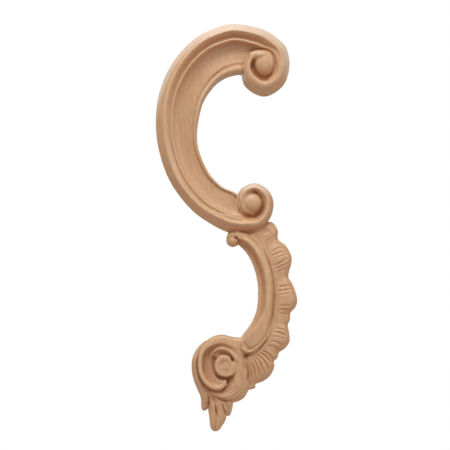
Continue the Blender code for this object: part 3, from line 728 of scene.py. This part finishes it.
lower_folds = [
    (((203.5, 344), (199.4, 351), (197.7, 359), (197.5, 368), (199.7, 379), (204.6, 386.6),
      (211, 392.6)), 0.85, 1.3),
    (((195, 360), (195, 371), (198, 382), (203, 391), (207.5, 399)), 0.75, 0.8),
    (((200.5, 383), (205.5, 390), (210.5, 396), (213.4, 403)), 0.75, 0.9),
    (((213, 393.8), (222, 393.2), (231, 390), (237.5, 384.6)), 0.8, 0.65),
    (((213.6, 396.2), (222, 395.9), (232.5, 392.4), (240, 386.4)), 0.8, 0.65),
    (((217, 398.2), (225, 398.2), (234, 395), (241.6, 389)), 0.8, 0.6),
    (((214.8, 396.6), (220.6, 400), (226.4, 401.4), (232.4, 401)), 1.0, 1.7),
    (((247.6, 364), (248.3, 374), (247.6, 383)), 1.0, 1.3),
    (((241.6, 355.4), (248.5, 356.0), (255.8, 352.8), (264.5, 343.2), (269.4, 334)), 0.9, 0.9),
    (((244, 336.5), (244.8, 342), (248.3, 347.4), (252.6, 347.4), (258, 344.6)), 0.7, 0.35),
    (((256, 239.6), (262, 247.4), (267.8, 259), (271.8, 272), (274, 288), (273.6, 305), (271.4, 320),
      (267, 331.6)), 0.85, 0.7),
    (((240.6, 343), (240.6, 348), (241.6, 353)), 0.7, 0.7),
    (((240.5, 369), (243, 379), (243.2, 389)), 0.8, 0.35),
    (((204.6, 387), (210, 390.2), (215, 391.7), (220.8, 391.6), (225.8, 388), (228.3, 382.8)), 0.85, 0.9),
]
upper_lines = [
    (((258, 57.4), (253, 61.6), (251.8, 68), (254.6, 74.6), (260, 78.6), (266.4, 79.4),
      (271.6, 76)), 1.0, 0.6),
    (((240.2, 207.5), (245.5, 213), (253.5, 215.6), (260.4, 213), (264.4, 206)), 1.3, 0.4),
    (((204, 91), (208.4, 82.6), (215, 74.6), (226, 68.2), (242.2, 64.8)), 0.6, 0.8),
    (((198, 157), (200.6, 164), (204.8, 172), (210.2, 180), (218.6, 188.2), (228, 193.6),
      (238, 197.8)), 0.6, 0.25),
    (((183, 178), (191, 191), (203, 203), (212, 208.8), (225, 213.6), (238, 216)), 0.7, 0.4),
    (((210, 207.6), (218, 211.4), (227, 214.6), (236, 216.4), (245, 217.4)), 0.9, 0.7),
    (((228.6, 232.6), (240, 232.6), (250, 233), (260, 230.8), (269, 225)), 0.9, 0.6),
    (((233.6, 237.4), (237.2, 238.0), (240.4, 240.4), (243.4, 244)), 1.25, 2.4),
    (((238, 238.2), (242.5, 240.6), (247.5, 245), (252.6, 251), (256.8, 260), (260.7, 270), (263.2, 280),
      (264.2, 290), (264.4, 300), (263.6, 310), (261, 320), (256, 330)), 2.2, 1.25),
    (((220.8, 365.6), (221.4, 362.4), (224.6, 361.0), (228.6, 363.4)), 0.75, 0.6),
]


STROKE_HEIGHT = 12.0  # mm


def stroke_paths(strokes):
    """The strokes as one object of edges on the board, with the cut's size at each point."""
    points, edges, half_widths, depths = [], [], [], []
    for path, half_width, depth in strokes:
        curve = curve_through(path, 6)
        start = len(points)
        for index, (x, z) in enumerate(on_board(curve, STROKE_HEIGHT)):
            points.append((x, 0, z))
            along = index / (len(curve) - 1)
            half_widths.append(half_width * MM)
            depths.append(depth * MM * min(1, 5 * along, 5 * (1 - along)))
        edges += [(index, index + 1) for index in range(start, len(points) - 1)]
    drawn = bpy.data.meshes.new("strokes")
    drawn.from_pydata(points, edges, [])
    for label, values in (("half_width", half_widths), ("depth", depths)):
        drawn.attributes.new(label, "FLOAT", "POINT").data.foreach_set("value", values)
    made = bpy.data.objects.new("strokes", drawn)
    bpy.context.scene.collection.objects.link(made)
    return made


drawn_strokes = flutes + fan + leaf_veins + lower_folds + upper_lines
strokes = stroke_paths(drawn_strokes)
print(len(drawn_strokes), "strokes")

# %% [markdown]
# Every material and every tree of nodes is built by one small function, which adds a node, gives it its
# settings, and either sets or links its inputs. Colours are written as they look on a screen.

# %% Nodes and colours
def add(tree, kind, inputs=(), **settings):
    """A new node in the tree. An input given as a socket is linked, and any other value is set."""
    node = tree.nodes.new(kind)
    for name, value in settings.items():
        setattr(node, name, value)
    for key, value in dict(inputs).items():
        if isinstance(value, bpy.types.NodeSocket):
            tree.links.new(value, node.inputs[key])
        else:
            node.inputs[key].default_value = value
    return node


def calculated(tree, operation, *values, **settings):
    """The result of a calculation on sockets or numbers."""
    return add(tree, "ShaderNodeMath", dict(enumerate(values)), operation=operation, **settings).outputs[0]


def colour(code):
    """A screen colour such as C8A078 as the linear values that the shader takes."""
    parts = [int(code[start:start + 2], 16) / 255 for start in (0, 2, 4)]
    linear = [part / 12.92 if part <= 0.04045 else ((part + 0.055) / 1.055) ** 2.4 for part in parts]
    return (*linear, 1.0)


# %% [markdown]
# Beech, carved and sanded, without a finish: pale and warm, with a fine straight grain along the length and
# short dark flecks. Bare wood scatters light softly, so it is rough. Slopes that look up get a painted
# highlight, a pale tint, and those that look down get painted shade, a redder tint. Hollows and gouge cuts
# get painted shade, a deeper colour, and raised ridges get a painted highlight, a paler colour.

# %% Sanded beech
def sanded_beech():
    wood = bpy.data.materials.new("sanded_beech")
    wood.use_nodes = True
    tree = wood.node_tree
    tree.nodes.clear()

    def noise(place, scale, detail, roughness):
        return add(tree, "ShaderNodeTexNoise", {"Vector": place, "Scale": scale, "Detail": detail,
                                                "Roughness": roughness}).outputs["Fac"]

    def share(value, start, full, most=1.0, **settings):
        """How far a value has come from start to full, times the most that it may count."""
        return add(tree, "ShaderNodeMapRange", {"Value": value, "From Min": start, "From Max": full,
                                                "To Max": most}, **settings).outputs[0]

    def tinted(below, amount, code):
        """The colour below, moved towards this one by the amount."""
        return add(tree, "ShaderNodeMix", {"Factor": amount, "A": below, "B": colour(code)},
                   data_type="RGBA").outputs["Result"]

    def kept_number(label):
        return add(tree, "ShaderNodeAttribute", attribute_name=label).outputs["Fac"]

    place = add(tree, "ShaderNodeTexCoord").outputs["Object"]
    along_grain = add(tree, "ShaderNodeMapping", {"Vector": place, "Scale": (1.0, 1.0, 0.07)}).outputs[0]
    # Grain lines about 1.2 mm apart, and flecks 0.4 mm wide, drawn a little coarser than life to show.
    grain = noise(along_grain, 820.0, 4.0, 0.62)
    flecks = noise(along_grain, 2300.0, 2.0, 0.5)
    clouds = noise(place, 26.0, 3.0, 0.5)
    fuzz = noise(place, 1500.0, 3.0, 0.7)
    sheltered = kept_number("shelter")
    looks_up = kept_number("looks_up")
    toned = tinted(colour("C09C78"), share(grain, 0.36, 0.66), "B18B66")
    flecked = tinted(toned, share(flecks, 0.58, 0.72, 0.55), "936846")
    varied = tinted(flecked, share(clouds, 0.4, 0.65, 0.25), "B78963")
    # Painted shade: slopes that look down are tinted redder and darker.
    with_painted_down_shade = tinted(varied, share(looks_up, -0.3, -0.9, 0.6), "B67A58")
    # Painted highlight: open slopes that look up, and the bevels round the top end, are tinted pale.
    with_painted_up_highlight = tinted(with_painted_down_shade, share(looks_up, 0.3, 0.75, 0.85), "C7B5A2")
    # Painted shade: hollows below their surroundings and the gouge cuts are tinted darker.
    deep = share(sheltered, 0.0, 2.2, 0.8, interpolation_type="SMOOTHSTEP")
    painted_cut_shade = calculated(tree, "MULTIPLY", kept_number("cut"), 0.45)
    both = calculated(tree, "ADD", deep, painted_cut_shade, use_clamp=True)
    shaded = tinted(with_painted_up_highlight, both, "AA6A46")
    # Painted highlight: ridges above their surroundings are tinted paler.
    with_painted_ridge_highlight = tinted(shaded, share(sheltered, -0.4, -2.2, 0.45), "CBB092")
    rough = add(tree, "ShaderNodeMapRange", {"Value": grain, "To Min": 0.38, "To Max": 0.54}).outputs[0]
    relief = calculated(tree, "ADD", fuzz, grain)
    bump = add(tree, "ShaderNodeBump", {"Height": relief, "Strength": 0.35, "Distance": 0.12 * MM}).outputs[0]
    surface = add(tree, "ShaderNodeBsdfPrincipled",
                  {"Base Color": with_painted_ridge_highlight, "Roughness": rough, "Normal": bump, "IOR": 1.5,
                   "Specular IOR Level": 0.7})
    add(tree, "ShaderNodeOutputMaterial", {"Surface": surface.outputs[0]})
    return wood


wood = sanded_beech()
print("wood has", len(wood.node_tree.nodes), "nodes")

# %% [markdown]
# Cutting along a path is work for Geometry Nodes. The tree turns the strokes into smooth curves, finds for
# each point of the body the nearest place on them, seen from the front, and sinks it by a soft profile.
# A slow noise makes the hand lighter and heavier. The depth of each cut is kept, so the wood's colour can
# paint shade in it.

# %% The cutting tree
def cutting_tree():
    tree = bpy.data.node_groups.new("cut along strokes", "GeometryNodeTree")
    for label, kind, start in (("Geometry", "NodeSocketGeometry", None),
                               ("Strokes", "NodeSocketObject", None),
                               ("Point distance", "NodeSocketFloat", 0.2 * MM),
                               ("Width factor", "NodeSocketFloat", 1.0),
                               ("Depth factor", "NodeSocketFloat", 1.0),
                               ("Hand", "NodeSocketFloat", 0.35), ("Seed", "NodeSocketInt", 7),
                               ("Wood", "NodeSocketMaterial", None)):
        socket = tree.interface.new_socket(label, in_out="INPUT", socket_type=kind)
        if start is not None:
            socket.default_value = start
    tree.interface.new_socket("Geometry", in_out="OUTPUT", socket_type="NodeSocketGeometry")
    given = add(tree, "NodeGroupInput").outputs
    drawn = add(tree, "GeometryNodeObjectInfo", {"Object": given["Strokes"]})
    curves = add(tree, "GeometryNodeMeshToCurve", {"Mesh": drawn.outputs["Geometry"]})
    smooth = add(tree, "GeometryNodeCurveSplineType", {"Curve": curves.outputs[0]}, spline_type="CATMULL_ROM")
    even = add(tree, "GeometryNodeResampleCurve",
               {"Curve": smooth.outputs[0], "Length": given["Point distance"]}, mode="LENGTH")
    dots = add(tree, "GeometryNodeCurveToPoints", {"Curve": even.outputs[0]},
               mode="EVALUATED").outputs["Points"]
    place = add(tree, "GeometryNodeInputPosition").outputs[0]
    parts = add(tree, "ShaderNodeSeparateXYZ", {"Vector": place})
    seen = add(tree, "ShaderNodeCombineXYZ", {"X": parts.outputs["X"], "Z": parts.outputs["Z"]}).outputs[0]
    nearest = add(tree, "GeometryNodeSampleNearest", {"Geometry": dots, "Sample Position": seen},
                  domain="POINT")

    def of_nearest(kind, value):
        found = add(tree, "GeometryNodeSampleIndex",
                    {"Geometry": dots, "Value": value, "Index": nearest.outputs[0]},
                    data_type=kind, domain="POINT")
        return found.outputs[0]

    def drawn_value(label):
        return add(tree, "GeometryNodeInputNamedAttribute", {"Name": label}, data_type="FLOAT").outputs[0]

    on_path = of_nearest("FLOAT_VECTOR", place)
    half_width = of_nearest("FLOAT", drawn_value("half_width"))
    depth = of_nearest("FLOAT", drawn_value("depth"))
    away = add(tree, "ShaderNodeVectorMath", {0: seen, 1: on_path}, operation="DISTANCE").outputs["Value"]
    reach = calculated(tree, "MULTIPLY", half_width, given["Width factor"])
    share = calculated(tree, "DIVIDE", away, reach)
    profile = add(tree, "ShaderNodeMapRange", {"Value": share, "To Min": 1.0, "To Max": 0.0},
                  interpolation_type="SMOOTHSTEP").outputs[0]
    noise = add(tree, "ShaderNodeTexNoise", {"Vector": seen, "W": given["Seed"], "Scale": 130.0},
                noise_dimensions="4D")
    unsteady = add(tree, "ShaderNodeMapRange",
                   {"Value": noise.outputs["Fac"], "From Min": 0.3, "From Max": 0.7,
                    "To Min": -1.0, "To Max": 1.0}).outputs[0]
    press = calculated(tree, "MULTIPLY_ADD", unsteady, given["Hand"], 1.0)
    full = calculated(tree, "MULTIPLY", depth, given["Depth factor"])
    pressed = calculated(tree, "MULTIPLY", full, press)
    sink = calculated(tree, "MULTIPLY", pressed, profile)
    offset = add(tree, "ShaderNodeCombineXYZ", {"Y": sink}).outputs[0]
    front = add(tree, "FunctionNodeCompare", {0: parts.outputs["Y"], 1: FRONT}, operation="LESS_THAN")
    carved = add(tree, "GeometryNodeSetPosition",
                 {"Geometry": given["Geometry"], "Selection": front.outputs[0], "Offset": offset})
    # The kept depth later darkens the wood's colour there as painted shade.
    in_mm = calculated(tree, "MULTIPLY", sink, 1 / MM)
    kept = add(tree, "GeometryNodeStoreNamedAttribute",
               {"Geometry": carved.outputs[0], "Selection": front.outputs[0], "Name": "cut",
                "Value": in_mm}, data_type="FLOAT", domain="POINT")
    real = add(tree, "GeometryNodeRealizeInstances", {"Geometry": kept.outputs[0]})
    dressed = add(tree, "GeometryNodeSetMaterial", {"Geometry": real.outputs[0], "Material": given["Wood"]})
    add(tree, "NodeGroupOutput", {"Geometry": dressed.outputs[0]})
    return tree


def through_tree(body, tree, **values):
    """The body's mesh as the tree leaves it, with the tree's inputs set by their identifiers."""
    modifier = body.modifiers.new("carving", "NODES")
    modifier.node_group = tree
    for item in tree.interface.items_tree:
        key = item.name.replace(" ", "_").lower()
        if item.in_out == "INPUT" and key in values:
            modifier[item.identifier] = values[key]
    evaluated = body.evaluated_get(bpy.context.evaluated_depsgraph_get())
    finished = bpy.data.meshes.new_from_object(evaluated)
    body.modifiers.clear()
    body.data = finished
    return finished


applique = bpy.data.objects.new("wood_applique", mesh)
bpy.context.scene.collection.objects.link(applique)
done = through_tree(applique, cutting_tree(), strokes=strokes, wood=wood)
bpy.data.objects.remove(strokes)
print("carved body of", len(done.polygons), "faces, materials", [slot.name for slot in done.materials])

# %% [markdown]
# The carved body takes the place of the plain solid and is fixed to its frame.

# %% In place of the solid
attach(applique, "root")
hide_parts("scroll_applique")

# %% [markdown]
# The piece is shown as in a catalogue: before plain white, over a pale floor that lies below the view. The
# main soft box hangs above and before it. A long one behind the top left draws a pale line there, two at
# the sides and one below soften the shadows, and an even sky fills them. The picture is 450 squares wide.

# %% Floor, light and camera
BEAM = 75  # degrees
PICTURE = 450  # squares across
FLOOR = -0.3


def floor_plane():
    shape = bmesh.new()
    corners = [shape.verts.new(corner) for corner in
               ((-0.6, -0.7, FLOOR), (0.6, -0.7, FLOOR), (0.6, 0.4, FLOOR), (-0.6, 0.4, FLOOR))]
    shape.faces.new(corners)
    flat = bpy.data.meshes.new("floor")
    shape.to_mesh(flat)
    shape.free()
    made = bpy.data.objects.new("floor", flat)
    bpy.context.scene.collection.objects.link(made)
    paint = bpy.data.materials.new("matt_paper")
    paint.use_nodes = True
    sheet = paint.node_tree.nodes["Principled BSDF"]
    sheet.inputs["Base Color"].default_value = colour("DCD5CB")
    sheet.inputs["Roughness"].default_value = 0.9
    flat.materials.append(paint)


def soft_lamp(label, place, size, power):
    """A soft box of this width and depth, turned to the piece."""
    lamp = bpy.data.lights.new(label, "AREA")
    lamp.shape = "RECTANGLE"
    lamp.size, lamp.size_y = size
    lamp.energy = power
    lamp.spread = math.radians(BEAM)
    made = bpy.data.objects.new(label, lamp)
    made.location = place
    made.rotation_euler = (Vector((-0.015, 0.0, 0.0)) - Vector(place)).to_track_quat("-Z", "Y").to_euler()
    bpy.context.scene.collection.objects.link(made)


def white_sky(strength):
    """A sky that the camera sees as white, and that lights the piece with this strength."""
    world = bpy.data.worlds.new("sky")
    world.use_nodes = True
    tree = world.node_tree
    tree.nodes.clear()
    seen = add(tree, "ShaderNodeLightPath").outputs["Is Camera Ray"]
    power = add(tree, "ShaderNodeMapRange", {"Value": seen, "To Min": strength, "To Max": 1.0})
    tint = add(tree, "ShaderNodeMix", {"Factor": seen, "A": colour("FFEDE0"), "B": colour("FFFFFF")},
               data_type="RGBA")
    sky = add(tree, "ShaderNodeBackground", {"Color": tint.outputs["Result"], "Strength": power.outputs[0]})
    add(tree, "ShaderNodeOutputWorld", {"Surface": sky.outputs[0]})
    bpy.context.scene.world = world


floor_plane()
white_sky(0.38)
soft_lamp("above", (-0.03, -0.6, 0.95), (0.6, 0.6), 1.9)
soft_lamp("crown", (-0.25, 0.25, 0.87), (1.2, 0.2), 0.5)
soft_lamp("left", (-0.9, -0.4, 0.4), (0.6, 0.6), 0.68)
soft_lamp("right", (0.9, -0.4, 0.4), (0.6, 0.6), 0.74)
soft_lamp("low", (0.1, -0.8, -0.28), (0.8, 0.3), 0.25)
lens = bpy.data.cameras.new("lens")
lens.sensor_width = 36.0
lens.lens = lens.sensor_width * EYE_DISTANCE / (PICTURE * SQUARE)
viewer = bpy.data.objects.new("viewer", lens)
sheet_middle = (SHEET_AXIS - SHEET_ORIGIN) * (SQUARE, -SQUARE)
viewer.location = (sheet_middle[0], -EYE_DISTANCE, sheet_middle[1])
viewer.rotation_euler = (math.pi / 2, 0.0, 0.0)
bpy.context.scene.collection.objects.link(viewer)
bpy.context.scene.camera = viewer
bpy.context.scene.view_settings.view_transform = "Standard"
